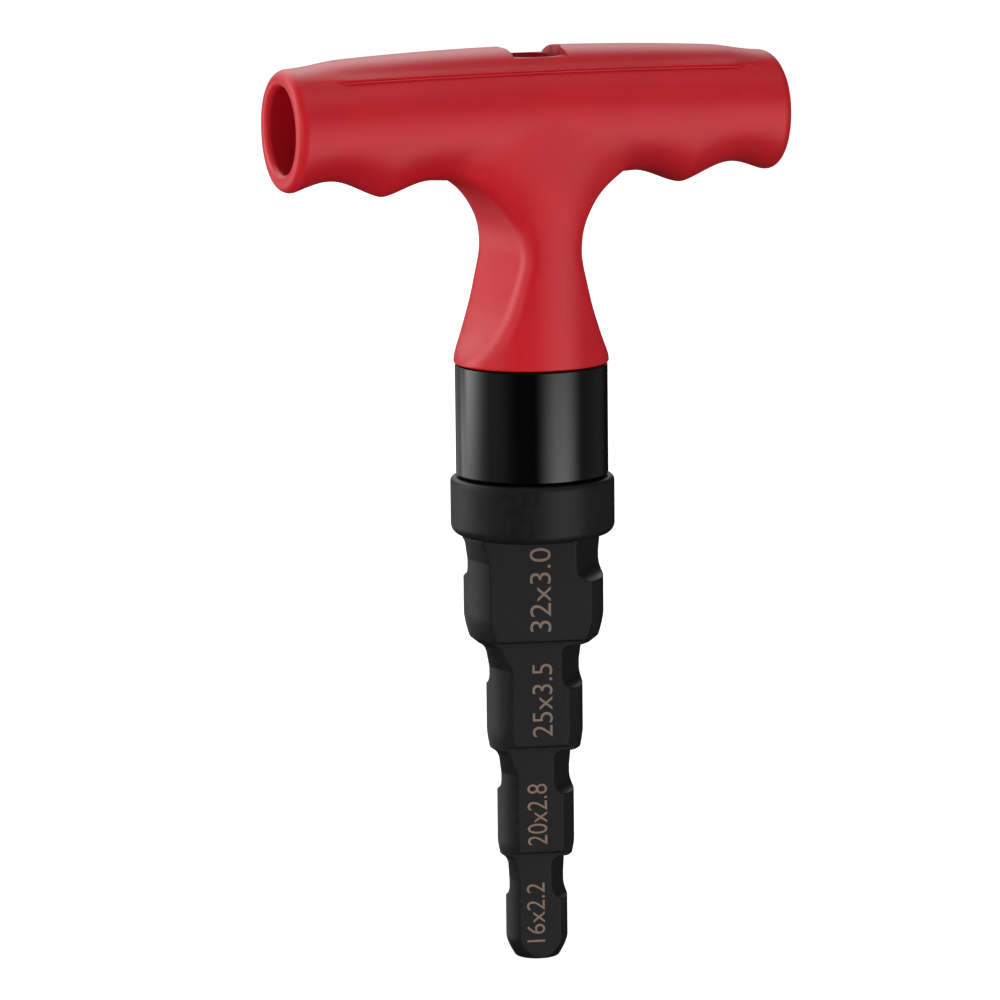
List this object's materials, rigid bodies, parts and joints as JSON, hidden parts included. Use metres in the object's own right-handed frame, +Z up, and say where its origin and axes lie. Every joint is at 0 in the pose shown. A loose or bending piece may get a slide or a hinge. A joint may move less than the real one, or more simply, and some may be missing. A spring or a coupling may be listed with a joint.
{
  "type": "pipe calibrator",
  "caption": "Hand pipe calibrator: stepped black steel mandrel with milled flats and slots under a red moulded T-handle, for rounding, sizing and chamfering the ends of plastic pipe.",
  "frame": {"origin": "centre of the flat end of the mandrel's tip, on which the tool stands", "axes": "+Z up the tool's axis to the handle, +X along the handle's crossbar, -Y towards the front"},
  "size_m": [0.0964, 0.0304, 0.17],
  "materials": {
    "red_plastic": "red glass-filled nylon, satin with a fine moulded grain",
    "gloss_black": "gloss black enamel on steel tube",
    "black_oxide": "satin black oxide on turned and milled steel",
    "bright_steel": "bright drawn steel",
    "zinc_steel": "bright zinc plate"
  },
  "bodies": {
    "root": {"t_handle": "red_plastic", "spacer_sleeve": "gloss_black", "mandrel": "black_oxide", "hex_shank": "bright_steel", "drive_bush": "bright_steel", "roll_pin": "bright_steel", "cap_screw": "zinc_steel", "lock_washer": "zinc_steel", "flat_washer": "zinc_steel"}
  },
  "joints": []
}
